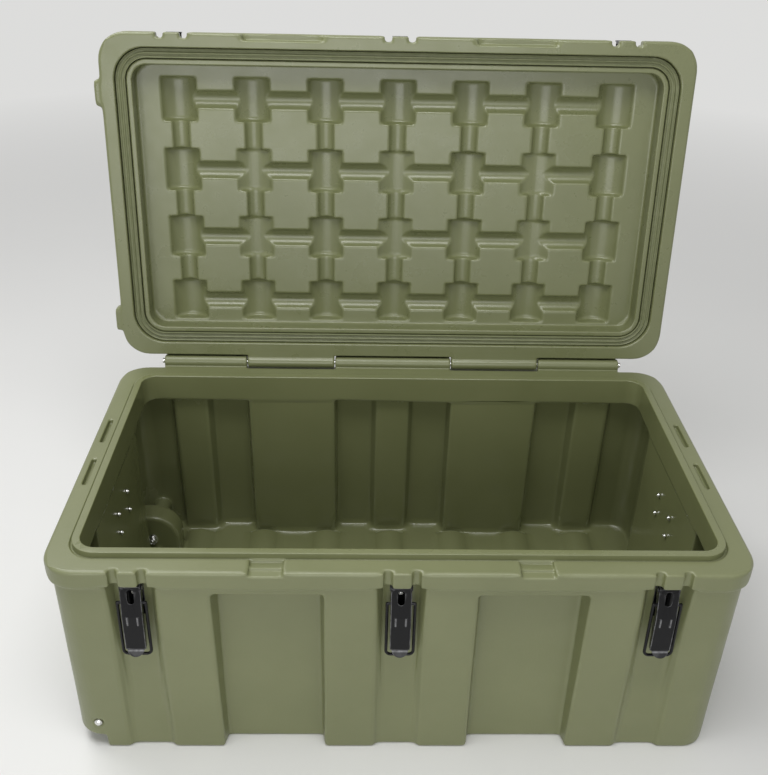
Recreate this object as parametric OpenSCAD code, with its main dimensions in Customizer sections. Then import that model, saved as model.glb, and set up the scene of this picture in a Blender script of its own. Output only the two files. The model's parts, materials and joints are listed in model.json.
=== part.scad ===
// Rotomoulded hard equipment case with a hinged lid, draw latches, end handles and transport wheels.
// X runs to the right, Y to the hinge side, Z up; the origin is on the ground under the rim's centre.

/* [Case] */
// Width over the rim
case_w = 1100; // [1080:10:1200]
// Depth over the rim
case_d = 620; // [610:10:680]
// Height of the base up to its rim
base_h = 400; // [390:10:450]
// Wall thickness of the moulded shells
wall_t = 6; // [5:0.5:6.5]
// Corner radius of the rim seen from above
corner_r = 52; // [50:1:56]
// Angle at which the lid stands open
lid_open = 98; // [92:1:100]

/* [Rim] */
// Height of the flush band round the rim
band_h = 35; // [32:1:38]
// How far the walls step in below the band
wall_step = 8; // [7:1:9]
// Distance from the rim's edge to the sealing tongue
tongue_in = 37; // [36:1:38]
// Width of the sealing tongue
tongue_w = 13; // [12:0.5:14]
// Height of the sealing tongue above the rim
tongue_h = 8; // [6:0.5:9]
// Height of the neck wall that hangs below the rim
neck_h = 48; // [46:1:52]

/* [Lid] */
// Depth of the lid from its flange to the inner panel
lid_depth = 45; // [42:1:48]
// Gap between the closed lid's flange and the rim
lid_gap = 1; // [0.5:0.5:1.5]
// Columns of stacking bosses
boss_columns = 7; // [5:1:7]
// Rows of stacking bosses
boss_rows = 4; // [3:1:4]
// Distance between columns
boss_pitch_x = 138.5; // [130:0.5:140]
// Distance between rows
boss_pitch_y = 132; // [126:1:134]
// Depth of the full bosses
boss_depth = 22; // [18:1:24]

/* [Front] */
// Distance of the outer latches from the middle
latch_x = 415; // [405:1:420]
// Distance of the recessed panels from the middle
panel_x = 207; // [204:1:210]
// Width of a recessed panel at its floor
panel_w = 162; // [150:2:166]
// Depth of a recessed panel at its top
panel_depth = 34; // [28:1:35]

/* [Ends] */
// Depth of the handle recesses
end_depth = 35; // [33:1:36]
// Height of the handle's bolt pattern above the ground
handle_z = 270; // [260:1:280]
// Reach of the handle's bail below its pivot
handle_reach = 86; // [80:1:90]

/* [Wheels] */
// Radius of a transport wheel
wheel_r = 46; // [42:1:46]
// Width of a transport wheel
wheel_w = 30; // [28:1:34]

/* [Hidden] */
$fn = 64;

// Overlap that keeps joined solids from merely touching
bite = 1;
// Running clearance between a pin and its hole
slack = 0.05;

// Walls and floor
wall_x = case_w / 2 - wall_step;
wall_y = case_d / 2 - wall_step;
wall_r = corner_r - wall_step;
rim_t = 14;
floor_t = 6;
opening_in = tongue_in + tongue_w;
opening_r = 28;
moat_w = 4;
moat_depth = 4;
neck_z = base_h - neck_h;
band_z = base_h - band_h;

// Wall recesses, with their depths at the ground in front and at the back
recess_reach = 80;
panel_slope = 0.2;
panel_drop = 52;
panel_top = base_h - panel_drop;
panel_feet = [24, 30];
channel_w = 54;
channel_slope = 0.55;
channel_depth = 22;
channel_feet = [3, 20];
flare_w = 62;
flare_slope = 1.1;
flare_depth = 7;
channel_rise = 3;
channel_top = band_z + channel_rise;
channel_tilt = atan((channel_depth - channel_feet[0]) / channel_top);
end_w = 290;
end_slope = 0.3;

// Rim details
notch_w = 52;
notch_depth = 7;
notch_rib = 6;
slot_w = 8;
slot_l = 74;
slot_gap = 53;
slot_in = 18;
slot_shift = 10;
slot_depth = 9;
groove_r = 7;
groove_in = 3.5;
groove_y = case_d / 2 - groove_in;

// Stacking grid, shared by the lid's bosses and the pockets under the floor
boss_w = 68;
boss_l = 80;
shallow_depth = 15;
rib_w = 32;
rib_depth = 13;
grid_shift = 8;
pocket_depth = 14;
pocket_r = 45;
pocket_l = 98;

// Lid section
lid_z = base_h + lid_gap;
lid_band = 35;
lid_top = lid_depth + wall_t;
seal_in = 26;
seal_w = 20;
seal_depth = 20;
seal_clear = 0.5;
seal_gap = tongue_h - lid_gap + seal_clear;
ridge_w = 10;
ridge_depth = tongue_h + 2;
lid_wall_in = seal_in + seal_w + ridge_w;
lid_inner_r = 30;
finger_x = 141;
finger_w = 146;
finger_deep = 12;
finger_h = 14;
lug_l = 48;
lug_out = 12;
lug_h = 26;
lug_apart = 219;
lug_shift = 17;
keeper_bay_w = 62;
keeper_bay_deep = 16;
keeper_bay_z = 16;

// Hinge
hinge_back = 16;
hinge_up = 7;
hinge_y = case_d / 2 + hinge_back;
hinge_z = base_h + hinge_up;
knuckle_r = 12;
rod_r = 4;
knuckle_gap = 1;
knuckle_ends = [120, 300, 470];
rod_head_r = 5.5;
rod_head_t = 3;
lid_web_h = 18;
base_stretches = [[-knuckle_ends[2], -knuckle_ends[1]], [-knuckle_ends[0], knuckle_ends[0]],
  [knuckle_ends[1], knuckle_ends[2]]];
lid_stretches = [[-knuckle_ends[1], -knuckle_ends[0]], [knuckle_ends[0], knuckle_ends[1]]];
cover_t = 4;
cover_gap = 2;
cover_reach = 14;
shelf_reach = 6;
lip_root = 10;

// Latch, in its own frame: y runs out of the channel floor (negative), z up along it from the top
lever_w = 32;
sheet_t = 2;
plate_w = 32;
plate_l = 74;
plate_up = 1;
ear_in = 10.5;
pivot_out = 13;
pivot_down = 11;
lever_out = 26;
lever_top_out = 5.3;
lever_top_rise = 5;
lever_bend = 60;
lever_end = 123;
bail_out = 20.5;
bail_down = 35;
bail_x = 21.75;
wire_r = 2.5;
bail_l = 104;
bail_bend = 8;
pin_r = 3;
pin_head_r = 4.5;
pin_head_t = 1.5;
pin_side = 0.3;
tab_r = 13.5;
tab_tilt = 35;
bead_l = 14;
bead_r = 1.6;
bead_x = 8;
bead_z = -74;
access_w = 11;
access_z = [-16, -31];
rivet_r = 1.9;
rivet_head_r = 3.8;
rivet_head_t = 2;
rivet_z = [-30, -62];

// Keeper, hooked by the bail when the lid is latched
keeper_w = 28;
keeper_t = 2.5;
keeper_h = 18;
hook_z = 34;
hook_out = 15.5;
hook_lip = 9;
keeper_rivet_x = 8;
keeper_rivet_z = 44;
keeper_rivet_l = 10;

// Handles
handle_plate_w = 128;
handle_plate_h = 62;
handle_plate_t = 3;
handle_pivot_out = 17;
handle_pivot_up = 14;
handle_ear_y = 60;
handle_ear_t = 4;
handle_ear_r = 9;
handle_rod_r = 4.5;
handle_leg_y = 70;
handle_bend = 16;
grip_r = 11.5;
grip_l = 100;
grip_groove = 1;
grip_ribs = 5;
handle_bolt_y = 34;
handle_bolt_up = 21;
handle_bolt_r = 1.95;
handle_head_r = 5;
handle_head_t = 3;
handle_nut_r = 4.6;
handle_nut_t = 5;
handle_face = wall_x - end_depth;
handle_inner = handle_face - wall_t;

// Wheels in bays at the left end, where the bottom edge is cut back so that they reach the ground on tilting
relief_h = 28;
relief_in = 50;
wheel_in = 40;
wheel_x = wheel_in - wall_x;
ground_gap = 12;
wheel_z = wheel_r + ground_gap;
wheel_side = 3;
pocket_clear = 4;
pocket_skin = 84;
pocket_front = wall_y - pocket_skin;
pocket_rear = pocket_front - wheel_w - 2 * wheel_side;
hub_r = 26;
hub_web = 10;
hub_wall = 4;
hub_boss_t = 5;
tyre_side = 2;
axle_r = 5;
axle_boss_r = 18;
axle_sink = 4.5;
axle_seat = wall_y - axle_sink;
axle_spot_r = 9.5;
axle_head_r = 7;
axle_head_t = 6;
axle_washer_r = 11;
axle_washer_t = 2;
axle_nut_r = 9;
axle_nut_t = 8;
tread_groove = 1.5;
tread_grooves = 3;

olive = "#6f7455";
seal_olive = "#5f6445";
black_coat = "#1c1c1e";
zinc = "#b9bcc0";
rubber = "#232323";
nylon = "#3a3b3d";

// Plan shapes

// Rounded rectangle centred on the origin
module rounded_rect(w, d, r) {
  square([w - 2 * r, d], center = true);
  square([w, d - 2 * r], center = true);
  for (sx = [-1, 1], sy = [-1, 1]) translate([sx * (w / 2 - r), sy * (d / 2 - r)]) circle(r);
}

// Rounded block set in by a margin from the rim's outline
module rim_block(margin, r, h) {
  linear_extrude(h) rounded_rect(case_w - 2 * margin, case_d - 2 * margin, r);
}

// Flat ring between two margins from the rim's outline
module rim_ring(outer, outer_r, inner, inner_r, h) {
  linear_extrude(h) difference() {
    rounded_rect(case_w - 2 * outer, case_d - 2 * outer, outer_r);
    rounded_rect(case_w - 2 * inner, case_d - 2 * inner, inner_r);
  }
}

// Children at the front wall and mirrored to the hinge side
module front_and_back() {
  for (m = [0, 1]) mirror([0, m, 0]) children();
}

// Children at the left end and mirrored to the right end, turned to face outwards along -Y
module both_ends() {
  for (m = [0, 1]) mirror([m, 0, 0]) rotate([0, 0, -90]) children();
}

// Wall features

// Recess in a wall that faces -Y, deeper at its top than at the ground
module wall_recess(floor_w, slope, top_depth, foot_depth, top_z, grow) {
  tilt = atan((top_depth - foot_depth) / top_z);
  below = 20;
  half = floor_w / 2 + grow;
  spread = half + slope * recess_reach;
  translate([0, foot_depth, 0]) rotate([-tilt, 0, 0]) translate([0, 0, -below])
    linear_extrude(top_z / cos(tilt) + below + grow)
      polygon([[-half, grow], [half, grow], [spread, -recess_reach], [-spread, -recess_reach]]);
}

module panel_recesses(grow) {
  for (back = [0, 1], sx = [-1, 1]) mirror([0, back, 0]) translate([sx * panel_x, -wall_y, 0])
    wall_recess(panel_w, panel_slope, panel_depth, panel_feet[back], panel_top, grow);
}

// The front channels run out towards the ground, where a shallow flare keeps their width
module latch_channels(grow) {
  for (back = [0, 1], sx = [-1, 0, 1]) mirror([0, back, 0]) translate([sx * latch_x, -wall_y, 0])
    wall_recess(channel_w, channel_slope, channel_depth, channel_feet[back], channel_top, grow);
  for (sx = [-1, 0, 1]) translate([sx * latch_x, -wall_y, 0])
    wall_recess(flare_w, flare_slope, flare_depth, flare_depth, channel_top, grow);
}

module end_recesses(grow) {
  both_ends() translate([0, -wall_x, 0])
    wall_recess(end_w, end_slope, end_depth, end_depth, panel_top, grow);
}

// Open-cornered bay for a wheel; grow turns it into the housing that shows inside
module wheel_bays(grow) {
  r = wheel_r + pocket_clear + grow;
  out = recess_reach;
  w = pocket_front - pocket_rear + 2 * grow;
  front_and_back() translate([wheel_x, -pocket_front - grow, wheel_z]) {
    rotate([-90, 0, 0]) cylinder(r = r, h = w);
    translate([-out, 0, -wheel_z - out]) cube([out + r, w, wheel_z + out]);
    translate([-out, 0, 0]) cube([out, w, r]);
  }
}

// Cut along the bottom edge of the wheel end
module tilt_relief(grow) {
  out = recess_reach;
  translate([-wall_x - out, -case_d / 2, -out])
    cube([out + relief_in + grow, case_d, out + relief_h + grow]);
}

// Positions of the stacking grid; children get the column and row from the loop
function grid_x(i) = (i - (boss_columns - 1) / 2) * boss_pitch_x;
function grid_y(j) = (j - (boss_rows - 1) / 2) * boss_pitch_y + grid_shift;
function chord_r(w, depth) = (w * w / 4 + depth * depth) / (2 * depth);
function inner_cell(i, j) = i % 2 == 1 && j > 0 && j < boss_rows - 1;

// Half-round pocket under the floor, or the hump it raises inside
module floor_pockets(grow) {
  for (i = [0 : boss_columns - 1], j = [0 : boss_rows - 1])
    translate([grid_x(i), grid_y(j) - pocket_l / 2 - grow, pocket_depth - pocket_r])
      rotate([-90, 0, 0]) cylinder(r = pocket_r + grow, h = pocket_l + 2 * grow);
}

// Knuckle along a stretch of the hinge line
module knuckle(x0, x1) {
  translate([x0 + knuckle_gap, hinge_y, hinge_z]) rotate([0, 90, 0])
    cylinder(r = knuckle_r, h = x1 - x0 - 2 * knuckle_gap);
}

module knuckle_web(x0, x1, outline) {
  translate([x0 + knuckle_gap, 0, 0]) rotate([90, 0, 90])
    linear_extrude(x1 - x0 - 2 * knuckle_gap) polygon(outline);
}

module hinge_bore(r) {
  translate([-case_w / 2, hinge_y, hinge_z]) rotate([0, 90, 0]) cylinder(r = r, h = case_w);
}

// Base

module base_outside() {
  rim_block(wall_step, wall_r, base_h - bite);
  translate([0, 0, band_z]) rim_block(0, corner_r, band_h);
  translate([0, 0, base_h - bite])
    rim_block(tongue_in, opening_r + tongue_w, tongue_h + bite);
}

module base_hollow() {
  difference() {
    translate([0, 0, floor_t]) rim_block(wall_step + wall_t, wall_r - wall_t, base_h - rim_t - floor_t);
    translate([0, 0, neck_z]) rim_block(opening_in - wall_t, opening_r + wall_t, neck_h);
    panel_recesses(wall_t);
    latch_channels(wall_t);
    end_recesses(wall_t);
    wheel_bays(wall_t);
    tilt_relief(wall_t);
    floor_pockets(wall_t);
    axle_lines() translate([0, 0, pocket_front]) cylinder(r = axle_boss_r, h = pocket_skin);
  }
}

module rim_cuts() {
  // Moat between the flat rim and the tongue
  translate([0, 0, base_h - moat_depth])
    rim_ring(tongue_in - moat_w, opening_r + tongue_w + moat_w, tongue_in, opening_r + tongue_w,
      moat_depth + bite);
  // Prying notches in the front rim, each with a low rib left standing
  for (sx = [-1, 1]) translate([sx * panel_x - notch_w / 2, -case_d / 2 - bite, base_h - notch_depth]) {
    cube([notch_w, tongue_in / 2 - notch_rib / 2 + bite, notch_depth + bite]);
    translate([0, tongue_in / 2 + notch_rib / 2 + bite, 0])
      cube([notch_w, tongue_in / 2 - notch_rib / 2 - moat_w + bite, notch_depth + bite]);
    translate([0, 0, notch_rib / 2]) cube([notch_w, tongue_in - moat_w + bite, notch_depth]);
  }
  // Slots in the end rims
  for (sx = [-1, 1], sy = [-1, 1])
    translate([sx * (case_w / 2 - slot_in), slot_shift + sy * (slot_gap + slot_l) / 2, base_h - slot_depth])
      linear_extrude(slot_depth + bite) square([slot_w, slot_l], center = true);
  // Half-round grooves that let the latch bails pass the band
  for (sx = [-1, 0, 1], side = [-1, 1])
    translate([sx * latch_x + side * bail_x, -groove_y, band_z - bite])
      cylinder(r = groove_r, h = band_h + 2 * bite);
}

module base_holes() {
  latch_frames() for (z = rivet_z) translate([0, bite, z])
    rotate([90, 0, 0]) translate([0, 0, -wall_t - 3 * bite]) cylinder(r = rivet_r, h = wall_t + 6 * bite);
  both_ends() handle_bolt_places() translate([0, -handle_face - bite, 0])
    rotate([-90, 0, 0]) cylinder(r = handle_bolt_r, h = wall_t + 2 * bite);
  axle_lines() {
    translate([0, 0, pocket_rear - 2 * wall_t]) cylinder(r = axle_r, h = wall_y);
    translate([0, 0, axle_seat]) cylinder(r = axle_spot_r, h = axle_spot_r);
  }
}

module base_shell() color(olive) {
  difference() {
    base_outside();
    base_hollow();
    translate([0, 0, neck_z - bite]) rim_block(opening_in, opening_r, neck_h + tongue_h + 2 * bite);
    panel_recesses(0);
    latch_channels(0);
    end_recesses(0);
    wheel_bays(0);
    tilt_relief(0);
    floor_pockets(0);
    rim_cuts();
    base_holes();
  }
  base_knuckles();
}

module base_knuckles() {
  gusset = [[case_d / 2 - bite, band_z], [case_d / 2 - bite, base_h], [hinge_y, base_h],
    [hinge_y + knuckle_r * cos(45), hinge_z - knuckle_r * sin(45)]];
  // Shelf that closes the gap under the lid's knuckles
  shelf_top = hinge_z - knuckle_r - cover_gap;
  shelf = [[case_d / 2 - bite, shelf_top - lip_root], [case_d / 2 - bite, shelf_top],
    [hinge_y + shelf_reach, shelf_top], [hinge_y + shelf_reach, shelf_top - cover_t]];
  difference() {
    for (x = base_stretches) {
      knuckle(x[0], x[1]);
      knuckle_web(x[0], x[1], gusset);
    }
    hinge_bore(rod_r + slack);
  }
  for (x = lid_stretches) knuckle_web(x[0], x[1], shelf);
}

// Lid, drawn closed and then swung open

module lid_frame() {
  translate([0, hinge_y, hinge_z]) rotate([-lid_open, 0, 0]) translate([0, -hinge_y, -hinge_z]) children();
}

// Half-round bars of the stacking grid; grow makes them the outside skin
module grid_bars(grow) {
  r = chord_r(rib_w, rib_depth) + grow;
  z = lid_z + lid_depth + rib_depth - r + grow;
  span_x = grid_x(boss_columns - 1) - grid_x(0);
  span_y = grid_y(boss_rows - 1) - grid_y(0);
  for (j = [0 : boss_rows - 1]) translate([grid_x(0), grid_y(j), z])
    rotate([0, 90, 0]) cylinder(r = r, h = span_x);
  for (i = [0 : boss_columns - 1]) translate([grid_x(i), grid_y(0), z])
    rotate([-90, 0, 0]) cylinder(r = r, h = span_y);
}

module grid_bosses(grow) {
  for (i = [0 : boss_columns - 1], j = [0 : boss_rows - 1]) {
    depth = inner_cell(i, j) ? shallow_depth : boss_depth;
    r = chord_r(boss_w, depth) + grow;
    translate([grid_x(i), grid_y(j) - boss_l / 2 - grow, lid_z + lid_depth + depth - r + grow])
      rotate([-90, 0, 0]) cylinder(r = r, h = boss_l + 2 * grow);
  }
}

module lid_outside() {
  translate([0, 0, lid_z]) {
    rim_block(0, corner_r, lid_band);
    rim_block(wall_step, wall_r, lid_top);
  }
  intersection() {
    union() {
      grid_bars(wall_t);
      grid_bosses(wall_t);
    }
    translate([0, 0, lid_z + lid_depth]) rim_block(lid_wall_in, lid_inner_r, boss_depth + 2 * wall_t);
  }
  // Feet that the case stands on when it is up-ended on its wheels
  for (s = [-1, 1]) translate([-case_w / 2 - lug_out, lug_shift + s * lug_apart - lug_l / 2, lid_z + bite])
    cube([lug_out + wall_t, lug_l, lug_h]);
}

module lid_hollow() {
  translate([0, 0, lid_z - bite]) {
    rim_block(lid_wall_in, lid_inner_r, lid_depth + bite);
    rim_ring(seal_in, lid_inner_r + ridge_w + seal_w, lid_wall_in - ridge_w, lid_inner_r + ridge_w,
      seal_depth + bite);
    rim_ring(lid_wall_in - ridge_w, lid_inner_r + ridge_w, lid_wall_in, lid_inner_r, ridge_depth + bite);
  }
  intersection() {
    union() {
      grid_bars(0);
      grid_bosses(0);
    }
    translate([0, 0, lid_z + lid_depth - bite]) rim_block(lid_wall_in, lid_inner_r, boss_depth + wall_t);
  }
}

module lid_front_cuts() {
  // Finger recesses under the front edge
  for (m = [0, 1]) mirror([m, 0, 0]) translate([finger_x, -case_d / 2 - bite, lid_z - bite])
    cube([finger_w, finger_deep + bite, finger_h + bite]);
  for (sx = [-1, 0, 1]) translate([sx * latch_x, 0, lid_z]) {
    // Bay that holds the keeper
    translate([-keeper_bay_w / 2, -case_d / 2 - bite, keeper_bay_z])
      cube([keeper_bay_w, keeper_bay_deep + bite, lid_top]);
    // Grooves for the bail's legs
    for (side = [-1, 1]) translate([side * bail_x, -groove_y, -bite])
      cylinder(r = groove_r, h = keeper_bay_z + 2 * bite);
    // Keeper rivet holes
    for (side = [-1, 1])
      translate([side * keeper_rivet_x, -case_d / 2 + keeper_bay_deep - bite, keeper_rivet_z])
        rotate([-90, 0, 0]) cylinder(r = rivet_r, h = keeper_rivet_l + bite);
  }
}

module lid_knuckles() {
  web = [[case_d / 2 - bite, lid_z], [case_d / 2 - bite, lid_z + lid_web_h],
    [hinge_y, hinge_z + knuckle_r - bite], [hinge_y, lid_z]];
  // Lip that covers the base's knuckles when the lid is closed and hangs behind them when it is open
  lip_z = hinge_z + knuckle_r + cover_gap;
  lip = [[case_d / 2 - bite, lip_z], [hinge_y + cover_reach, lip_z], [hinge_y + cover_reach, lip_z + cover_t],
    [case_d / 2 - bite, lip_z + lip_root]];
  difference() {
    for (x = lid_stretches) {
      knuckle(x[0], x[1]);
      knuckle_web(x[0], x[1], web);
    }
    hinge_bore(rod_r + slack);
  }
  for (x = base_stretches) knuckle_web(x[0], x[1], lip);
}

module lid_shell() color(olive) lid_frame() {
  difference() {
    lid_outside();
    lid_hollow();
    lid_front_cuts();
  }
  lid_knuckles();
}

module lid_gasket() color(seal_olive) lid_frame() {
  body = 9;
  ribs = 3;
  side = 1;
  inner = lid_wall_in - ridge_w;
  rib_t = 2.5;
  gap = (seal_w - 2 * side - rib_t) / (ribs - 1);
  top = lid_z + seal_depth;
  low = lid_z + seal_gap;
  r = lid_inner_r + ridge_w;
  translate([0, 0, top - body])
    rim_ring(seal_in + side, r + seal_w - side, inner - side, r + side, body);
  for (k = [0 : ribs - 1]) translate([0, 0, low]) {
    out = seal_in + side + k * gap;
    rim_ring(out, r + inner - out, out + rib_t, r + inner - out - rib_t, top - low - bite);
  }
}

module hinge_rod() color(zinc) {
  length = 2 * knuckle_ends[2] + 2 * knuckle_gap;
  translate([-length / 2, hinge_y, hinge_z]) rotate([0, 90, 0]) {
    cylinder(r = rod_r, h = length);
    for (x = [-rod_head_t, length]) translate([0, 0, x]) cylinder(r = rod_head_r, h = rod_head_t);
  }
}

// Latches

// Frame of one latch: origin on the channel floor at the channel's top, tilted with the floor
module latch_frame(x) {
  translate([x, -wall_y + channel_feet[0], 0]) rotate([-channel_tilt, 0, 0])
    translate([0, 0, channel_top / cos(channel_tilt)]) children();
}

module latch_frames() {
  for (sx = [-1, 0, 1]) latch_frame(sx * latch_x) children();
}

module cross_pin(r, length, y, z) {
  translate([-length / 2, y, z]) rotate([0, 90, 0]) cylinder(r = r, h = length);
}

module latch_plate(x) color(black_coat) latch_frame(x) difference() {
  ear_r = 4.8;
  union() {
    translate([-plate_w / 2, -sheet_t, -plate_l]) cube([plate_w, sheet_t, plate_l - plate_up]);
    for (side = [-1, 1]) translate([side * (ear_in + sheet_t / 2) - sheet_t / 2, 0, -pivot_down]) {
      translate([0, -pivot_out, -ear_r]) cube([sheet_t, pivot_out, 2 * ear_r]);
      translate([0, -pivot_out, 0]) rotate([0, 90, 0]) cylinder(r = ear_r, h = sheet_t);
    }
  }
  cross_pin(pin_r, plate_w + bite, -pivot_out, -pivot_down);
  for (z = rivet_z) translate([0, bite, z]) rotate([90, 0, 0]) cylinder(r = rivet_r, h = sheet_t + 2 * bite);
}

module latch_pin(x) color(black_coat) latch_frame(x) {
  cross_pin(pin_r, lever_w + 2 * bite, -pivot_out, -pivot_down);
  for (side = [-1, 1]) translate([side * (lever_w / 2 + pin_head_t / 2 + pin_side), 0, 0])
    cross_pin(pin_head_r, pin_head_t, -pivot_out, -pivot_down);
}

// Side outline of the lever's face, on its inner or outer skin: sloping out to a bend, then along the wall
function lever_line(skin) = [[-pivot_out - lever_top_out - skin, lever_top_rise - pivot_down],
  [-lever_out - skin, -lever_bend], [-lever_out - skin, -lever_end]];

module lever_face() {
  inner = lever_line(0);
  polygon(concat(lever_line(sheet_t), [inner[2], inner[1], inner[0]]));
}

// Side outline of a flange: a boss at the pivot, a foot round the bail's end, then a taper
module lever_flange() {
  boss = 9;
  foot = 5;
  short = 18;
  stop = bail_down + bail_l - short;
  outer = lever_line(sheet_t);
  translate([-pivot_out, -pivot_down]) circle(boss);
  polygon([outer[0], outer[1], [outer[1][0], -stop], [-bail_out, -stop], [-bail_out + foot, -bail_down],
    [-pivot_out + boss, -pivot_down]]);
}

// Slot in the lever's face that gives access to the upper rivet
module access_slot() translate([0, -pivot_out, 0]) rotate([90, 0, 0]) {
  for (z = access_z) translate([0, z, 0]) cylinder(r = access_w / 2, h = lever_out);
  translate([-access_w / 2, access_z[1], 0]) cube([access_w, access_z[0] - access_z[1], lever_out]);
}

module latch_lever(x) color(black_coat) latch_frame(x) difference() {
  flange_x = (lever_w - sheet_t) / 2;
  union() {
    for (side = [-1, 1]) translate([side * flange_x - sheet_t / 2, 0, 0])
      rotate([90, 0, 90]) linear_extrude(sheet_t) lever_flange();
    translate([-lever_w / 2, 0, 0]) rotate([90, 0, 90]) linear_extrude(lever_w) lever_face();
    // Half-moon finger tab, bent outwards
    translate([0, -lever_out, -lever_end]) rotate([90 - tab_tilt, 0, 0])
      linear_extrude(sheet_t) difference() {
        circle(tab_r);
        translate([-tab_r, bite]) square(2 * tab_r);
      }
    // Raised beads on the face
    for (side = [-1, 1]) translate([side * bead_x, -lever_out - sheet_t, bead_z]) {
      cylinder(r = bead_r, h = bead_l);
      for (z = [0, bead_l]) translate([0, 0, z]) sphere(bead_r);
    }
  }
  cross_pin(pin_r + slack, lever_w + bite, -pivot_out, -pivot_down);
  for (side = [-1, 1]) translate([side * flange_x, 0, 0])
    cross_pin(wire_r + slack, sheet_t + 2 * bite, -bail_out, -bail_down);
  access_slot();
}

// Round wire bent to a U: two legs down from the pivot, a cross bar, and ends turned inwards
module bent_wire(r, half_w, reach, bend, end_in) {
  for (side = [0, 1]) mirror([side, 0, 0]) {
    translate([end_in, 0, 0]) rotate([0, 90, 0]) cylinder(r = r, h = half_w - end_in);
    translate([half_w, 0, 0]) sphere(r);
    translate([half_w, 0, bend - reach]) cylinder(r = r, h = reach - bend);
    translate([half_w - bend, 0, bend - reach]) rotate([90, 0, 0]) rotate([0, 0, -90])
      rotate_extrude(angle = 90) translate([bend, 0]) circle(r);
  }
  translate([bend - half_w, 0, -reach]) rotate([0, 90, 0]) cylinder(r = r, h = 2 * (half_w - bend));
}

module latch_bail(x) color(black_coat) latch_frame(x) translate([0, -bail_out, -bail_down])
  bent_wire(wire_r, bail_x, bail_l, bail_bend, (lever_w - bite) / 2 - sheet_t);

// Domed head that stands on the ground plane
module rivet_head() intersection() {
  r = chord_r(2 * rivet_head_r, rivet_head_t);
  translate([0, 0, rivet_head_t - r]) sphere(r);
  cylinder(r = 2 * rivet_head_r, h = 2 * rivet_head_t);
}

module rivet(length) {
  cylinder(r = rivet_r, h = length);
  translate([0, 0, length]) rivet_head();
  mirror([0, 0, 1]) rivet_head();
}

module latch_rivets() color(zinc) latch_frames() for (z = rivet_z)
  translate([0, wall_t, z]) rotate([90, 0, 0]) rivet(wall_t + sheet_t);

// Keepers on the lid

module keeper(x) color(black_coat) lid_frame()
  translate([x, -case_d / 2 + keeper_bay_deep, lid_z]) difference() {
    low = hook_z - keeper_t;
    union() {
      translate([-keeper_w / 2, -keeper_t, low]) cube([keeper_w, keeper_t, keeper_h]);
      translate([-keeper_w / 2, -hook_out, low]) cube([keeper_w, hook_out, keeper_t]);
      translate([-keeper_w / 2, -hook_out, low]) cube([keeper_w, keeper_t, hook_lip]);
    }
    for (side = [-1, 1]) translate([side * keeper_rivet_x, bite, keeper_rivet_z])
      rotate([90, 0, 0]) cylinder(r = rivet_r, h = keeper_t + 2 * bite);
  }

module keeper_rivets() color(zinc) lid_frame() for (sx = [-1, 0, 1], side = [-1, 1])
  translate([sx * latch_x + side * keeper_rivet_x, -case_d / 2 + keeper_bay_deep, lid_z + keeper_rivet_z])
    rotate([90, 0, 0]) {
      translate([0, 0, -keeper_rivet_l]) cylinder(r = rivet_r, h = keeper_rivet_l + keeper_t);
      translate([0, 0, keeper_t]) rivet_head();
    }

// Handles, drawn for an end wall that faces -Y

module handle_bolt_places() {
  for (sy = [-1, 1], sz = [-1, 1])
    translate([sy * handle_bolt_y, 0, handle_z + sz * handle_bolt_up]) children();
}

module end_frame(side) {
  mirror([side, 0, 0]) rotate([0, 0, -90]) children();
}

module handle_plate(side) color(black_coat) end_frame(side) difference() {
  union() {
    translate([-handle_plate_w / 2, -handle_face - handle_plate_t, handle_z - handle_plate_h / 2])
      cube([handle_plate_w, handle_plate_t, handle_plate_h]);
    translate([-handle_ear_t / 2, -handle_face - handle_pivot_out, handle_z + handle_pivot_up])
      for (s = [-1, 1]) translate([s * handle_ear_y, 0, 0]) {
        translate([0, 0, -handle_ear_r]) cube([handle_ear_t, handle_pivot_out, 2 * handle_ear_r]);
        rotate([0, 90, 0]) cylinder(r = handle_ear_r, h = handle_ear_t);
      }
  }
  translate([0, -handle_face - handle_pivot_out, handle_z + handle_pivot_up])
    cross_pin(handle_rod_r + slack, handle_plate_w + bite, 0, 0);
  handle_bolt_places() translate([0, -handle_face + bite, 0]) rotate([90, 0, 0])
    cylinder(r = handle_bolt_r, h = handle_plate_t + 2 * bite);
}

module handle_bail(side) color(black_coat) end_frame(side)
  translate([0, -handle_face - handle_pivot_out, handle_z + handle_pivot_up])
    bent_wire(handle_rod_r, handle_leg_y, handle_reach, handle_bend, handle_ear_y - handle_ear_t);

module handle_grip(side) color(rubber) end_frame(side)
  translate([-grip_l / 2, -handle_face - handle_pivot_out, handle_z + handle_pivot_up - handle_reach])
    rotate([90, 0, 90]) difference() {
      union() {
        cylinder(r = grip_r - grip_groove, h = grip_l);
        for (k = [0 : grip_ribs - 1]) translate([0, 0, k * grip_l / grip_ribs + bite])
          cylinder(r = grip_r, h = grip_l / grip_ribs - 2 * bite);
      }
      translate([0, 0, -bite]) cylinder(r = handle_rod_r, h = grip_l + 2 * bite);
    }

module handle_bolts() color(zinc) both_ends() handle_bolt_places()
  translate([0, -handle_face - handle_plate_t, 0]) rotate([90, 0, 0]) {
    translate([0, 0, -handle_plate_t - wall_t - handle_nut_t + bite])
      cylinder(r = handle_bolt_r, h = handle_plate_t + wall_t + handle_nut_t - bite);
    cylinder(r = handle_head_r, h = handle_head_t);
  }

module handle_nuts() color(zinc) both_ends() handle_bolt_places()
  translate([0, -handle_inner, 0]) rotate([-90, 0, 0]) difference() {
    union() {
      cylinder(r = handle_nut_r, h = handle_nut_t - bite, $fn = 6);
      cylinder(r1 = handle_nut_r - bite, r2 = handle_bolt_r, h = handle_nut_t + bite);
    }
    translate([0, 0, -bite]) cylinder(r = handle_bolt_r, h = handle_nut_t);
  }

// Wheels

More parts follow.
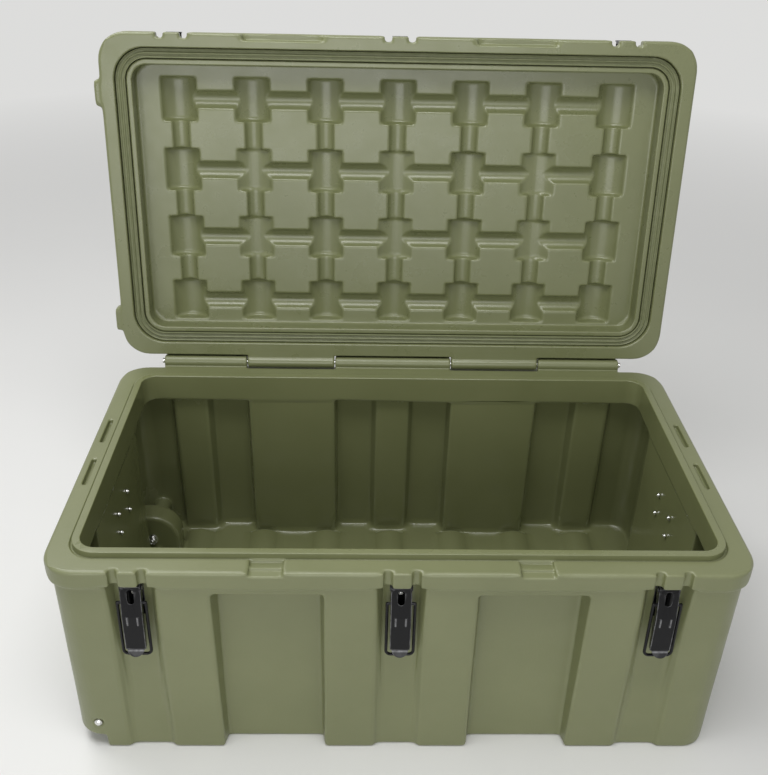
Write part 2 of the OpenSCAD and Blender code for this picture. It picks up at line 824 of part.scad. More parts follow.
// Frame of one wheel: z runs along the axle, outwards; side 0 is the front wheel
module wheel_frame(side) {
  mirror([0, side, 0]) translate([wheel_x, -pocket_rear - wheel_side, wheel_z]) rotate([90, 0, 0]) children();
}

module wheel_hub(side) color(nylon) wheel_frame(side) rotate_extrude() {
  bore = axle_r + slack;
  boss = axle_r + hub_boss_t;
  inner = hub_r - hub_wall;
  polygon([[bore, 0], [boss, 0], [boss, hub_web], [inner, hub_web], [inner, tyre_side], [hub_r, tyre_side],
    [hub_r, wheel_w - tyre_side], [inner, wheel_w - tyre_side], [inner, wheel_w - hub_web],
    [boss, wheel_w - hub_web], [boss, wheel_w], [bore, wheel_w]]);
}

module wheel_tyre(side) color(rubber) wheel_frame(side) rotate_extrude() difference() {
  shoulder = 4;
  far = wheel_w - tyre_side;
  polygon([[hub_r, tyre_side], [wheel_r - shoulder, tyre_side], [wheel_r, tyre_side + shoulder],
    [wheel_r, far - shoulder], [wheel_r - shoulder, far], [hub_r, far]]);
  for (k = [1 : tread_grooves])
    translate([wheel_r - tread_groove, k * wheel_w / (tread_grooves + 1) - tread_groove / 2])
      square([2 * tread_groove, tread_groove]);
}

// Children on the axle line, z outwards from the case's middle plane
module axle_lines() {
  front_and_back() translate([wheel_x, 0, wheel_z]) rotate([90, 0, 0]) children();
}

module axle_bolts() color(zinc) axle_lines() {
  inner = pocket_rear - wall_t - axle_washer_t - axle_nut_t;
  translate([0, 0, inner]) cylinder(r = axle_r, h = axle_seat - inner);
  translate([0, 0, axle_seat]) cylinder(r = axle_head_r, h = axle_head_t / 2);
  translate([0, 0, axle_seat + axle_head_t / 2])
    cylinder(r1 = axle_head_r, r2 = axle_head_r / 2, h = axle_head_t / 2);
}

module axle_washers() color(zinc) axle_lines() translate([0, 0, pocket_rear - wall_t - axle_washer_t])
  difference() {
    cylinder(r = axle_washer_r, h = axle_washer_t);
    translate([0, 0, -bite]) cylinder(r = axle_r, h = axle_washer_t + 2 * bite);
  }

module axle_nuts() color(zinc) axle_lines()
  translate([0, 0, pocket_rear - wall_t - axle_washer_t - axle_nut_t]) difference() {
    cylinder(r = axle_nut_r, h = axle_nut_t, $fn = 6);
    translate([0, 0, -bite]) cylinder(r = axle_r, h = axle_nut_t + 2 * bite);
  }

base_shell();
lid_shell();
lid_gasket();
hinge_rod();
latch_plate(-latch_x);  // latch_plate_left
latch_plate(0);  // latch_plate_centre
latch_plate(latch_x);  // latch_plate_right
latch_pin(-latch_x);  // latch_pin_left
latch_pin(0);  // latch_pin_centre
latch_pin(latch_x);  // latch_pin_right
latch_lever(-latch_x);  // latch_lever_left
latch_lever(0);  // latch_lever_centre
latch_lever(latch_x);  // latch_lever_right
latch_bail(-latch_x);  // latch_bail_left
latch_bail(0);  // latch_bail_centre
latch_bail(latch_x);  // latch_bail_right
keeper(-latch_x);  // keeper_left
keeper(0);  // keeper_centre
keeper(latch_x);  // keeper_right
latch_rivets();
keeper_rivets();
handle_plate(0);  // handle_plate_left
handle_plate(1);  // handle_plate_right
handle_bail(0);  // handle_bail_left
handle_bail(1);  // handle_bail_right
handle_grip(0);  // handle_grip_left
handle_grip(1);  // handle_grip_right
handle_bolts();
handle_nuts();
wheel_hub(0);  // wheel_hub_front
wheel_hub(1);  // wheel_hub_rear
wheel_tyre(0);  // wheel_tyre_front
wheel_tyre(1);  // wheel_tyre_rear
axle_bolts();
axle_washers();
axle_nuts();
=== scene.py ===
import json
import math

import bpy
import numpy as np
from mathutils import Matrix, Vector
from mathutils.bvhtree import BVHTree


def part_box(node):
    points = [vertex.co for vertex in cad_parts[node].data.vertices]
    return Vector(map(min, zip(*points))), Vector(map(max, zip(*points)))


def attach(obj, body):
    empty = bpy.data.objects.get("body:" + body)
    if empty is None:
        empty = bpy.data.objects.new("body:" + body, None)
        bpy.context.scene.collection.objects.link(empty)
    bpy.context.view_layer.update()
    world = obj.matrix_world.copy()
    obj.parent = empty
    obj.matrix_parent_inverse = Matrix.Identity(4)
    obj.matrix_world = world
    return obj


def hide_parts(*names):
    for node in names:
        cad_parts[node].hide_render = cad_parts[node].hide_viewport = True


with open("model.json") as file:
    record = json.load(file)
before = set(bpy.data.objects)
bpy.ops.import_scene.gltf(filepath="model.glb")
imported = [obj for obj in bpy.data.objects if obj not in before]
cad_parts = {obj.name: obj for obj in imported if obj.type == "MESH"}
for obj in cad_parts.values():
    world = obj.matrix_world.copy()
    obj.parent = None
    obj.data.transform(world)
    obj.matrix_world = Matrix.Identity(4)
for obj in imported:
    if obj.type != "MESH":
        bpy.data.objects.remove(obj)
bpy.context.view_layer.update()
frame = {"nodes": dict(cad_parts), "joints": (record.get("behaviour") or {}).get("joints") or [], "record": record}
nodes = frame["nodes"]
joints = {joint["name"]: joint for joint in frame["joints"]}

MM = 0.001

# Viewpoint in metres and radians, focal length and longer side of the frame in pixels, sensor in millimetres
EYE = Vector((-0.0664, -1.3858, 1.3721))
PITCH = 0.53936
YAW = 0.02894
ROLL = 0.02500
FOCAL_PX = 946.35
FRAME_PX = 775
SENSOR = 36.0

# Colours of the backdrop, the plastic and the coated steel
BACKDROP = (0.72, 0.72, 0.71, 1)
OLIVE = (0.172, 0.186, 0.085)
OLIVE_DARK = (0.160, 0.174, 0.078)
OLIVE_PALE = (0.184, 0.198, 0.093)
OLIVE_SPECK = (0.25, 0.27, 0.16)
# Paler olive of the edges: wear together with a painted highlight along them
OLIVE_WEAR_AND_HIGHLIGHT = (0.33, 0.36, 0.22)
COAT = (0.005, 0.005, 0.006)
# Pale grey of steel rubbed bare, which also stands in for painted glints on the hardware's edges and the levers'
# beads
STEEL_WEAR_AND_GLINT = (0.30, 0.30, 0.31)

# Weight of the finer detail in every noise
NOISE_ROUGHNESS = 0.55

# Strength of the world's light, and each lamp's place, aim, size in metres and power in watts
WORLD_LIGHT = 0.3
LAMPS = {
    "key": ((-1.4, 0.9, 2.9), (0.1, -0.1, 0.4), (1.5, 1.2), 34),
    "top": ((-0.3, -0.8, 3.1), (0, 0, 0.4), (2.4, 1.0), 46),
    "front": ((-0.5, -3.4, 1.2), (0, 0, 0.6), (3.0, 1.6), 40),
}

# Side of the floor, its drop below the ground face, and the distances at which it turns into the backdrop
FLOOR_SIDE = 60
FLOOR_DROP = 0.3 * MM
FLOOR_FADE = (1.2, 4.5)

# Places taken from the frame, and those that lie at a set distance from them
HINGE = Vector(joints["lid_hinge"]["pos_m"])
LID_OPEN = math.radians(-joints["lid_hinge"]["range_deg"][0])
RIM_HALF = Vector((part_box("base_shell")[1].x, -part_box("base_shell")[0].y, 0))
RIM_Z = HINGE.z - 7 * MM
LATCH_X = joints["lever_right_pivot"]["pos_m"][0]
NOTCH_X = 207 * MM
NECK_Z = RIM_Z - 48 * MM
WHEEL_END = joints["wheel_front_spin"]["pos_m"][0] + 80 * MM

# Lean of the latches, and how far the face of a lever stands out from its pivot
LATCH_TILT = math.radians(2.956)
LEVER_FACE = 15 * MM

# Edge radii of the hardware by its finish, the angle that counts as an edge, and the gap that is welded shut
EDGE_RADIUS = {"black_coat": 0.8 * MM, "zinc": 0.4 * MM, "grip_rubber": 0.8 * MM, "tyre_rubber": 1.2 * MM}
OTHER_RADIUS = 0.5 * MM
EDGE_ANGLE = math.radians(40)
WELD_GAP = 0.01 * MM

# Fineness of the moulded shells
VOXEL = 2.4 * MM
SHELL_TRIANGLES = 198000
SMOOTH_ROUNDS = round(60 * (2.4 * MM / VOXEL) ** 2)
RIM_FINER = 2.0
FINE_X = RIM_HALF.x - 60 * MM
FINE_Y = RIM_HALF.y - 60 * MM
BASE_FINE = (RIM_Z - 15 * MM, RIM_Z + 12 * MM)
LID_FINE = (RIM_Z - 5 * MM, RIM_Z + 25 * MM)

# Smoothing weights: the base's walls, rim, outer edge and floor corners, then the lid's plate and outer edge
WALL_SOFT = 0.15
RIM_SOFT = 0.03
EDGE_SOFT = 0.5
FLOOR_SOFT = 0.5
LID_SOFT = 0.055
LID_EDGE_SOFT = 0.35

# Distances from the solid: nearer than the first a point is laid on it, beyond the second it stays
LAID_BACK = (0.1 * MM, 0.7 * MM)

# Depths of rounding at which the paler edge, wear and painted highlight at once, starts and is full
WEAR_AND_HIGHLIGHT_DEPTH = (0.4 * MM, 2.2 * MM)

# Heights of the walls' swells and of the neck's trimmed edge
SWELL = 0.2 * MM
TRIM = 1.4 * MM

# Share of the inner skin's gloss that each shell has
BASE_GLOSS = 1.0
LID_GLOSS = 0.45

# Start of a sight line above the skin, and how the inner skin is blurred: rounds and pull
SIGHT_START = 1.5 * MM
INNER_ROUNDS = 8
INNER_PULL = 0.6

# Bands along the outline, each as the distances in from it where something starts and is full
EDGE_BAND = (14 * MM, 8 * MM)
HINGE_BAND = (40 * MM, 20 * MM)
PANEL_BAND = (90 * MM, 60 * MM)
NECK_INSET = 42 * MM

# Reach of the cuts at the latches and notches along the front, and the share of softness that they take away
LATCH_REACH = 42 * MM
NOTCH_REACH = 40 * MM
CUT_SHARE = 0.8

# Heights above the ground: of the floor's corners, and of the still strip at the ground face
FLOOR_CORNER = (30 * MM, 55 * MM)
STILL_FOOT = (5 * MM, 25 * MM)


# Helpers


def link(obj):
    bpy.context.scene.collection.objects.link(obj)
    return obj


def positions(mesh):
    co = np.empty(len(mesh.vertices) * 3, np.float32)
    mesh.vertices.foreach_get("co", co)
    return co.reshape(-1, 3).astype(float)


def set_positions(mesh, co):
    mesh.vertices.foreach_set("co", co.astype(np.float32).ravel())
    mesh.update()


def normals(mesh):
    out = np.empty(len(mesh.vertices) * 3, np.float32)
    mesh.vertex_normals.foreach_get("vector", out)
    return out.reshape(-1, 3).astype(float)


def smoothstep(low, high, value):
    t = np.clip((value - low) / (high - low), 0, 1)
    return t * t * (3 - 2 * t)


def evaluated(obj):
    graph = bpy.context.evaluated_depsgraph_get()
    return bpy.data.meshes.new_from_object(obj.evaluated_get(graph))


def apply_modifiers(obj):
    mesh = evaluated(obj)
    obj.modifiers.clear()
    obj.data = mesh


def finish_piece(obj, body, material, replaced):
    obj.data.materials.clear()
    obj.data.materials.append(material)
    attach(obj, body)
    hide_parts(*replaced)


# Camera, floor and light


def photo_camera():
    """Camera at the photograph's viewing angle."""
    forward = Vector((math.sin(YAW) * math.cos(PITCH), math.cos(YAW) * math.cos(PITCH), -math.sin(PITCH)))
    right = Vector((math.cos(YAW), -math.sin(YAW), 0))
    up = right.cross(forward)
    side = math.cos(ROLL) * right + math.sin(ROLL) * up
    top = math.cos(ROLL) * up - math.sin(ROLL) * right
    data = bpy.data.cameras.new("camera")
    data.sensor_width = SENSOR
    data.lens = FOCAL_PX * SENSOR / FRAME_PX
    camera = link(bpy.data.objects.new("camera", data))
    turn = Matrix((side, top, -forward)).transposed().to_4x4()
    camera.matrix_world = Matrix.Translation(EYE) @ turn
    bpy.context.scene.camera = camera


def soft_lamp(name, place, aim, size, watts):
    data = bpy.data.lights.new(name, "AREA")
    data.shape = "RECTANGLE"
    data.size, data.size_y = size
    data.energy = watts
    lamp = link(bpy.data.objects.new(name, data))
    lamp.location = place
    lamp.rotation_mode = "QUATERNION"
    lamp.rotation_quaternion = (Vector(aim) - Vector(place)).to_track_quat("-Z", "Y")


def shown_share(tree):
    """One for rays from the camera and for those that glossy or clear surfaces pass on, else nought."""
    path = tree.nodes.new("ShaderNodeLightPath")
    share = path.outputs["Is Camera Ray"]
    for kind in ("Is Glossy Ray", "Is Transmission Ray"):
        either = tree.nodes.new("ShaderNodeMath")
        either.operation = "MAXIMUM"
        tree.links.new(share, either.inputs[0])
        tree.links.new(path.outputs[kind], either.inputs[1])
        share = either.outputs["Value"]
    return share


def mix_shaders(tree, share, first, second, out):
    mix = tree.nodes.new("ShaderNodeMixShader")
    tree.links.new(share, mix.inputs[0])
    tree.links.new(first.outputs[0], mix.inputs[1])
    tree.links.new(second.outputs[0], mix.inputs[2])
    tree.links.new(mix.outputs[0], out.inputs["Surface"])


def studio():
    """Pale backdrop, weak light from all around, and soft lamps."""
    scene = bpy.context.scene
    scene.view_settings.view_transform = "Standard"
    world = bpy.data.worlds.new("studio")
    scene.world = world
    world.use_nodes = True
    tree = world.node_tree
    tree.nodes.clear()
    seen = tree.nodes.new("ShaderNodeBackground")
    seen.inputs["Color"].default_value = BACKDROP
    light = tree.nodes.new("ShaderNodeBackground")
    light.inputs["Color"].default_value = (1.0, 1.0, 0.985, 1)
    light.inputs["Strength"].default_value = WORLD_LIGHT
    mix_shaders(tree, shown_share(tree), light, seen, tree.nodes.new("ShaderNodeOutputWorld"))
    for name, (place, aim, size, watts) in LAMPS.items():
        soft_lamp(name, place, aim, size, watts)


def pale_floor():
    bpy.ops.mesh.primitive_plane_add(size=FLOOR_SIDE)
    floor = bpy.context.object
    floor.name = "floor"
    floor.location.z = -FLOOR_DROP
    floor.data.materials.append(floor_material())


# Materials


class Shader:
    """A principled material that is built node by node."""

    def __init__(self, name, colour, roughness, metallic=0.0):
        self.material = bpy.data.materials.new(name)
        self.material.use_nodes = True
        self.tree = self.material.node_tree
        self.bsdf = self.tree.nodes["Principled BSDF"]
        self.bsdf.inputs["Base Color"].default_value = (*colour, 1)
        self.bsdf.inputs["Roughness"].default_value = roughness
        self.bsdf.inputs["Metallic"].default_value = metallic
        self.place = self.tree.nodes.new("ShaderNodeTexCoord").outputs["Object"]

    def noise(self, scale, detail=3.0):
        node = self.tree.nodes.new("ShaderNodeTexNoise")
        node.inputs["Scale"].default_value = scale
        node.inputs["Detail"].default_value = detail
        node.inputs["Roughness"].default_value = NOISE_ROUGHNESS
        self.tree.links.new(self.place, node.inputs["Vector"])
        return node.outputs["Fac"]

    def attribute(self, name):
        """A value that is stored on the mesh."""
        node = self.tree.nodes.new("ShaderNodeAttribute")
        node.attribute_name = name
        return node.outputs["Fac"]

    def ramp(self, value, low, high, start=0.0, end=1.0):
        """Goes from start to end while a value goes from low to high."""
        node = self.tree.nodes.new("ShaderNodeMapRange")
        node.inputs["From Min"].default_value = low
        node.inputs["From Max"].default_value = high
        node.inputs["To Min"].default_value = start
        node.inputs["To Max"].default_value = end
        self.tree.links.new(value, node.inputs["Value"])
        return node.outputs["Result"]

    def maths(self, operation, first, second):
        node = self.tree.nodes.new("ShaderNodeMath")
        node.operation = operation
        for socket, value in zip(node.inputs, (first, second)):
            if isinstance(value, (int, float)):
                socket.default_value = value
            else:
                self.tree.links.new(value, socket)
        return node.outputs["Value"]

    def mix(self, share, first, second):
        node = self.tree.nodes.new("ShaderNodeMix")
        node.data_type = "RGBA"
        self.tree.links.new(share, node.inputs["Factor"])
        for name, value in (("A", first), ("B", second)):
            socket = next(s for s in node.inputs if s.name == name and s.type == "RGBA")
            if isinstance(value, tuple):
                socket.default_value = (*value, 1)
            else:
                self.tree.links.new(value, socket)
        return next(s for s in node.outputs if s.type == "RGBA")

    def colour(self, value):
        self.tree.links.new(value, self.bsdf.inputs["Base Color"])

    def roughness(self, value):
        self.tree.links.new(value, self.bsdf.inputs["Roughness"])

    def along(self, direction):
        """How far a place lies along a direction, in metres."""
        node = self.tree.nodes.new("ShaderNodeVectorMath")
        node.operation = "DOT_PRODUCT"
        node.inputs[1].default_value = direction
        self.tree.links.new(self.place, node.inputs[0])
        return node.outputs["Value"]

    def edges(self, radius):
        """One along edges up to a radius, nought on flats, from how far rounding turns the surface."""
        rounded = self.tree.nodes.new("ShaderNodeBevel")
        rounded.inputs["Radius"].default_value = radius
        flat = self.tree.nodes.new("ShaderNodeNewGeometry")
        likeness = self.tree.nodes.new("ShaderNodeVectorMath")
        likeness.operation = "DOT_PRODUCT"
        self.tree.links.new(rounded.outputs["Normal"], likeness.inputs[0])
        self.tree.links.new(flat.outputs["True Normal"], likeness.inputs[1])
        return self.ramp(likeness.outputs["Value"], 0.98, 0.8)

    def bump(self, height, distance, strength=1.0):
        node = self.tree.nodes.new("ShaderNodeBump")
        node.inputs["Strength"].default_value = strength
        node.inputs["Distance"].default_value = distance
        self.tree.links.new(height, node.inputs["Height"])
        previous = self.bsdf.inputs["Normal"].links
        if previous:
            self.tree.links.new(previous[0].from_socket, node.inputs["Normal"])
        self.tree.links.new(node.outputs["Normal"], self.bsdf.inputs["Normal"])


def floor_material():
    """Pale floor that turns into the backdrop far from the object, beyond the lamps' reach."""
    shader = Shader("pale_floor", (0.8, 0.8, 0.79), 0.7)
    shader.colour(shader.mix(shader.noise(1.5), (0.78, 0.78, 0.77), (0.82, 0.82, 0.81)))
    tree = shader.tree
    away = tree.nodes.new("ShaderNodeVectorMath")
    away.operation = "LENGTH"
    tree.links.new(shader.place, away.inputs[0])
    far = shader.ramp(away.outputs["Value"], *FLOOR_FADE)
    backdrop = tree.nodes.new("ShaderNodeEmission")
    backdrop.inputs["Color"].default_value = BACKDROP
    share = shader.maths("MULTIPLY", far, shown_share(tree))
    mix_shaders(tree, share, shader.bsdf, backdrop, tree.nodes["Material Output"])
    return shader.material


def olive_plastic():
    """Moulded polyethylene: mottled olive, orange-peel skin, paler along edges as wear and painted highlight,
    glossier inside.
    """
    shader = Shader("olive_polyethylene", OLIVE, 0.44)
    shader.bsdf.inputs["Specular IOR Level"].default_value = 0.65
    mottle = shader.ramp(shader.noise(5.0, 4.0), 0.3, 0.7)
    plain = shader.mix(mottle, OLIVE_DARK, OLIVE_PALE)
    speck = shader.ramp(shader.noise(900.0, 2.0), 0.62, 0.8, 0.0, 0.12)
    speckled = shader.mix(speck, plain, OLIVE_SPECK)
    patchy = shader.ramp(shader.noise(45.0, 5.0), 0.35, 0.75, 0.05, 0.4)
    # Paler edges in patches, wear and painted highlight in one
    wear_and_highlight = shader.maths("MULTIPLY", shader.attribute("edge"), patchy)
    shader.colour(shader.mix(wear_and_highlight, speckled, OLIVE_WEAR_AND_HIGHLIGHT))
    skin = shader.ramp(shader.noise(22.0, 5.0), 0.3, 0.7, 0.34, 0.44)
    inner = shader.attribute("inner")
    gloss = shader.ramp(inner, 0.0, 1.0, 0.0, 0.2)
    shader.roughness(shader.maths("SUBTRACT", skin, gloss))
    peel = shader.maths("MULTIPLY", shader.noise(260.0, 2.0), shader.ramp(inner, 0.0, 1.0, 1.0, 0.35))
    shader.bump(peel, 0.35 * MM, 0.5)
    shader.bump(shader.noise(14.0, 2.0), 1.2 * MM, 0.25)
    return shader.material


def black_coat(name):
    """Glossy black coat on pressed steel, pale grey along its edges as wear and painted glints; gives that mask as
    well.
    """
    shader = Shader(name, COAT, 0.2)
    shader.bsdf.inputs["Specular IOR Level"].default_value = 0.22
    patchy = shader.ramp(shader.noise(90.0, 5.0), 0.35, 0.65, 0.1, 0.75)
    # Pale grey edges: rubbed metal together with painted glints
    wear_and_highlight = shader.maths("MULTIPLY", shader.edges(1.2 * MM), patchy)
    shader.colour(shader.mix(wear_and_highlight, COAT, STEEL_WEAR_AND_GLINT))
    shader.roughness(shader.ramp(shader.noise(60.0, 4.0), 0.3, 0.7, 0.12, 0.24))
    shader.bump(shader.noise(700.0, 2.0), 0.06 * MM, 0.4)
    return shader, wear_and_highlight


def lever_coat():
    """Black coat with painted glints, as pale rubbed metal, where it stands just proud of the lever's face: beads,
    and a painted highlight line at the tab's bend.
    """
    shader, wear_and_highlight = black_coat("lever_coat")
    out = Vector((0, -math.cos(LATCH_TILT), math.sin(LATCH_TILT)))
    face = out.dot(Vector(joints["lever_centre_pivot"]["pos_m"])) + LEVER_FACE
    depth = shader.along(out)
    # Painted glints on the beads and a painted highlight line at the tab's bend, fainter out on the tab
    proud = shader.ramp(depth, face + 0.4 * MM, face + 1.4 * MM)
    beyond = shader.ramp(depth, face + 1.8 * MM, face + 3.0 * MM, 1.0, 0.12)
    rub_and_glint = shader.ramp(shader.noise(150.0, 4.0), 0.3, 0.7, 0.25, 0.8)
    raised = shader.maths("MULTIPLY", proud, beyond)
    both = shader.maths("MAXIMUM", wear_and_highlight, shader.maths("MULTIPLY", raised, rub_and_glint))
    shader.colour(shader.mix(both, COAT, STEEL_WEAR_AND_GLINT))
    return shader.material


def zinc():
    """Bright zinc plating with a cloudy grain."""
    shader = Shader("bright_zinc", (0.72, 0.72, 0.71), 0.24, 1.0)
    cloud = shader.ramp(shader.noise(240.0, 4.0), 0.3, 0.7)
    shader.colour(shader.mix(cloud, (0.62, 0.62, 0.61), (0.80, 0.80, 0.79)))
    shader.roughness(shader.ramp(shader.noise(500.0, 3.0), 0.3, 0.7, 0.18, 0.34))
    return shader.material


def soft_rubber(name, colour, paler, roughness):
    """Rubber or nylon with dust in a fine grain."""
    shader = Shader(name, colour, roughness)
    dust = shader.ramp(shader.noise(70.0, 5.0), 0.45, 0.8)
    shader.colour(shader.mix(dust, colour, paler))
    shader.roughness(shader.ramp(shader.noise(110.0, 3.0), 0.3, 0.7, roughness - 0.08, roughness + 0.08))
    shader.bump(shader.noise(900.0, 2.0), 0.12 * MM, 0.5)
    return shader.material


# Moulded shells


def upright_lid():
    """The turn that takes the open lid to its closed place, where its faces lie along the axes."""
    turn = Matrix.Rotation(LID_OPEN, 4, "X")
    return Matrix.Translation(HINGE) @ turn @ Matrix.Translation(-HINGE)


def widen(value, edge, factor):
    """Stretches what lies beyond an edge, so that voxels are finer there once it is undone."""
    beyond = np.maximum(np.abs(value) - edge, 0)
    return np.sign(value) * (np.minimum(np.abs(value), edge) + factor * beyond)


def to_voxel_space(co, floor_z, ceiling_z, inverse=False):
    """Spreads the rim apart across its width, and the heights between two levels."""
    factor = 1 / RIM_FINER if inverse else RIM_FINER
    wide = ceiling_z + RIM_FINER * (floor_z - ceiling_z)
    heights = [ceiling_z - 1, wide, ceiling_z, ceiling_z + 1]
    real = [ceiling_z - 1 - (wide - floor_z), floor_z, ceiling_z, ceiling_z + 1]
    out = co.copy()
    out[:, 0] = widen(co[:, 0], FINE_X, factor)
    out[:, 1] = widen(co[:, 1], FINE_Y, factor)
    out[:, 2] = np.interp(co[:, 2], heights, real) if inverse else np.interp(co[:, 2], real, heights)
    return out


def evened(mesh, columns, rounds, weights):
    """Draws each vertex's values towards the mean of its neighbours, by its own weight."""
    ends = np.empty(len(mesh.edges) * 2, np.int32)
    mesh.edges.foreach_get("vertices", ends)
    first, second = ends.reshape(-1, 2).T
    count = len(weights)
    share = weights / np.maximum(np.bincount(ends, minlength=count), 1)
    out = []
    for column in columns:
        value = column.copy()
        for _ in range(rounds):
            pull = np.bincount(first, value[second], count) + np.bincount(second, value[first], count)
            value += share * pull - weights * value
        out.append(value)
    return out


def nearest_on(piece, target):
    """The place on the target that lies nearest to each vertex of the piece."""
    wrap = piece.modifiers.new("nearest", "SHRINKWRAP")
    wrap.target = target
    wrap.wrap_method = "NEAREST_SURFACEPOINT"
    mesh = evaluated(piece)
    found = positions(mesh)
    piece.modifiers.clear()
    bpy.data.meshes.remove(mesh)
    return found


def sees(mesh, target, aim, chosen):
    """Which of the chosen vertices see a point in the hollow, and so belong to the inner skin.

    The aim is that point: a share of the vertex's own place along each axis, and a shift.
    """
    tree = BVHTree.FromObject(target, bpy.context.evaluated_depsgraph_get())
    places, facing = positions(mesh), normals(mesh)
    start = places + SIGHT_START * facing
    way = places * aim[0] + np.array(aim[1]) - start
    inner = np.zeros(len(places))
    for k in np.flatnonzero(chosen):
        direction = Vector(way[k])
        hit = tree.ray_cast(Vector(start[k]), direction, direction.length)
        inner[k] = hit[0] is None
    return evened(mesh, [inner], INNER_ROUNDS, np.full(len(places), INNER_PULL))[0]


def waves(co, slack):
    """Shallow hollows and swells of a thin moulded wall, as heights above it."""
    x, y, z = co.T
    sway = np.sin(23 * x + 9 * z + 2) + np.sin(17 * y - 21 * z) + 0.7 * np.sin(41 * x - 37 * y + 33 * z + 1)
    return SWELL * sway * slack


def soften(name, node, upright, heights, aim, softness, slack, inner_gloss):
    """Copy of a shell with moulded radii: voxels, smoothing, and flats laid back on the solid."""
    solid = nodes[node].data.copy()
    solid.transform(upright)
    target = link(bpy.data.objects.new(name + "_solid", solid))
    piece = link(bpy.data.objects.new(name, solid.copy()))
    set_positions(piece.data, to_voxel_space(positions(piece.data), *heights))
    remesh = piece.modifiers.new("voxels", "REMESH")
    remesh.mode = "VOXEL"
    remesh.voxel_size = VOXEL
    apply_modifiers(piece)
    co = to_voxel_space(positions(piece.data), *heights, inverse=True)
    set_positions(piece.data, co)
    weights = softness(piece.data, target, aim)
    set_positions(piece.data, np.stack(evened(piece.data, co.T, SMOOTH_ROUNDS, weights), axis=1))
    near = nearest_on(piece, target)
    co = positions(piece.data)
    off = np.linalg.norm(co - near, axis=1)
    keep = smoothstep(*LAID_BACK, off)[:, None]
    co = near + (co - near) * keep
    set_positions(piece.data, co + normals(piece.data) * waves(co, slack(co))[:, None])
    fewer = piece.modifiers.new("fewer", "DECIMATE")
    fewer.ratio = min(1.0, SHELL_TRIANGLES / (2 * len(piece.data.polygons)))
    apply_modifiers(piece)
    mark_edges(piece, target)
    inner = sees(piece.data, target, aim, np.ones(len(piece.data.vertices)))
    store(piece.data, "inner", inner_gloss * inner)
    bpy.data.objects.remove(target)
    piece.data.transform(upright.inverted())
    smooth_flats(piece)
    return piece


def smooth_flats(piece):
    """Smooth shading in which large flats keep their own normal."""
    piece.data.shade_smooth()
    piece.modifiers.new("flats", "WEIGHTED_NORMAL")
    apply_modifiers(piece)


def mark_edges(piece, target):
    """Stores how far a rounded outer edge lies inside the sharp one, as the mask of the paler edge: wear and
    painted highlight.
    """
    near = nearest_on(piece, target)
    inside = np.einsum("ij,ij->i", near - positions(piece.data), normals(piece.data))
    store(piece.data, "edge", smoothstep(*WEAR_AND_HIGHLIGHT_DEPTH, inside))


def store(mesh, name, values):
    """Keeps one number for each vertex, which a material can read."""
    attribute = mesh.attributes.new(name, "FLOAT", "POINT")
    attribute.data.foreach_set("value", values.astype(np.float32))


def blend(first, second, share):
    return first + (second - first) * share


def nearness(value, centre, reach):
    """One near a centre, and nought beyond its reach."""
    return 1 - smoothstep(0.7 * reach, reach, np.abs(value - centre))


def along_outline(value, half, band):
    """Rises from nought to one across a band that lies just inside the outline."""
    return smoothstep(half - band[0], half - band[1], value)


def outer_edge(co):
    """Nearness to the shells' outline, but for the hinge side and the cuts along the front."""
    x, front = np.abs(co[:, 0]), -co[:, 1]
    edge = np.maximum(along_outline(x, RIM_HALF.x, EDGE_BAND), along_outline(front, RIM_HALF.y, EDGE_BAND))
    cuts = np.maximum(nearness(x, LATCH_X, LATCH_REACH), nearness(x, 0, LATCH_REACH))
    cuts = np.maximum(cuts, nearness(x, NOTCH_X, NOTCH_REACH))
    hinge_side = along_outline(co[:, 1], RIM_HALF.y, HINGE_BAND)
    return edge * (1 - CUT_SHARE * cuts * (front > 0)) * (1 - hinge_side)


def base_softness(mesh, target, aim):
    """Crisp tongue and moat, a full radius on the band, soft walls, and round corners on the floor."""
    co = positions(mesh)
    z = co[:, 2]
    rim = smoothstep(RIM_Z - 40 * MM, RIM_Z - 22 * MM, z)
    low = 1 - smoothstep(*FLOOR_CORNER, z)
    floor = low * sees(mesh, target, aim, low > 0) * smoothstep(WHEEL_END, WHEEL_END + 20 * MM, co[:, 0])
    weight = blend(WALL_SOFT, RIM_SOFT, rim)
    weight = blend(weight, EDGE_SOFT, rim * outer_edge(co))
    return blend(weight, FLOOR_SOFT, floor)


def base_slack(co):
    """Waves on the walls alone, not on the ground face or the rim."""
    z = co[:, 2]
    return smoothstep(*STILL_FOOT, z) * (1 - smoothstep(NECK_Z - 25 * MM, NECK_Z - 5 * MM, z))


def lid_softness(mesh, target, aim):
    """Crisp groove, ridge and bosses, and a full radius on the outer edge."""
    return blend(LID_SOFT, LID_EDGE_SOFT, outer_edge(positions(mesh)))


def lid_slack(co):
    """Waves on the plate alone, not on the flange."""
    x, y = np.abs(co[:, 0]), np.abs(co[:, 1])
    across = 1 - along_outline(x, RIM_HALF.x, PANEL_BAND)
    return across * (1 - along_outline(y, RIM_HALF.y, PANEL_BAND))


def trim_neck(mesh):
    """Hand-trimmed lower edge of the neck: it wanders up and down a little along its run."""
    co = positions(mesh)
    x, y, z = co.T
    inside = (np.abs(x) < RIM_HALF.x - NECK_INSET) & (np.abs(y) < RIM_HALF.y - NECK_INSET)
    edge = smoothstep(NECK_Z - 15 * MM, NECK_Z, z) * (1 - smoothstep(NECK_Z + 4 * MM, NECK_Z + 25 * MM, z))
    wander = np.sin(19 * x + 11 * y) + 0.6 * np.sin(43 * x - 31 * y + 1) + 0.4 * np.sin(71 * x + 57 * y + 2)
    co[:, 2] += TRIM * wander * edge * inside
    set_positions(mesh, co)


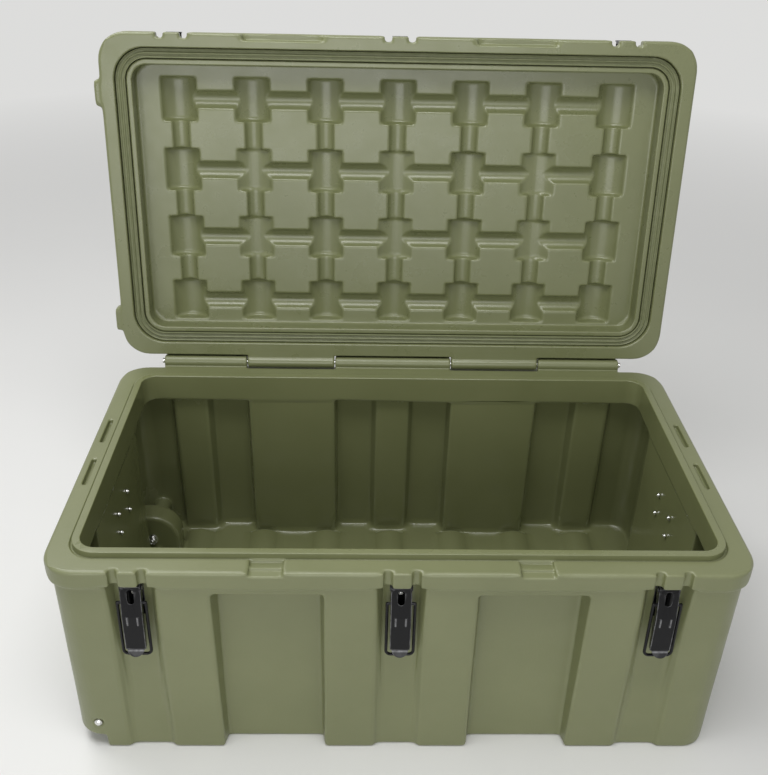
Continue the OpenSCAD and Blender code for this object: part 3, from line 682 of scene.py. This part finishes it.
def moulded_shells():
    """Base and lid as moulded plastic, in the place of their solids."""
    olive = olive_plastic()
    here = Matrix.Identity(4)
    middle = ((0.75, 0, 0), (0, 0, RIM_Z / 2))
    base = soften(
        "base_moulding", "base_shell", here, BASE_FINE, middle, base_softness, base_slack, BASE_GLOSS
    )
    trim_neck(base.data)
    finish_piece(base, "base", olive, ["base_shell"])
    closed = upright_lid()
    under = ((0.75, 0.75, 0), (0, 0, RIM_Z / 2))
    lid = soften(
        "lid_moulding", "lid_shell", closed, LID_FINE, under, lid_softness, lid_slack, LID_GLOSS
    )
    finish_piece(lid, "lid", olive, ["lid_shell"])


# Hardware that keeps its solid


def dress_hardware():
    """Materials and rounded edges for the solids that stay."""
    looks = {
        "black_coat": black_coat("black_coat")[0].material,
        "zinc": zinc(),
        "seal": soft_rubber("seal_rubber", (0.17, 0.185, 0.09), (0.21, 0.225, 0.12), 0.5),
        "grip_rubber": soft_rubber("grip_rubber", (0.014, 0.014, 0.014), (0.04, 0.04, 0.038), 0.6),
        "tyre_rubber": soft_rubber("tyre_rubber", (0.016, 0.016, 0.016), (0.05, 0.049, 0.045), 0.75),
        "hub_nylon": soft_rubber("hub_nylon", (0.03, 0.03, 0.031), (0.06, 0.06, 0.058), 0.42),
    }
    levers = lever_coat()
    for part in frame["record"]["subparts"]:
        node, slot = part["node"], part["material_slot"]
        obj = nodes[node]
        if slot not in looks or obj.hide_render:
            continue
        obj.data.materials.clear()
        obj.data.materials.append(levers if node.startswith("latch_lever") else looks[slot])
        round_edges(obj, EDGE_RADIUS.get(slot, OTHER_RADIUS))


def round_edges(obj, width):
    """Rounded edges, without the empty faces that a rounding leaves where there is no room for it."""
    bevel = obj.modifiers.new("edges", "BEVEL")
    bevel.width = width
    bevel.segments = 2
    bevel.limit_method = "ANGLE"
    bevel.angle_limit = EDGE_ANGLE
    weld = obj.modifiers.new("weld", "WELD")
    weld.merge_threshold = WELD_GAP
    obj.modifiers.new("flats", "WEIGHTED_NORMAL")


studio()
pale_floor()
photo_camera()
moulded_shells()
dress_hardware()
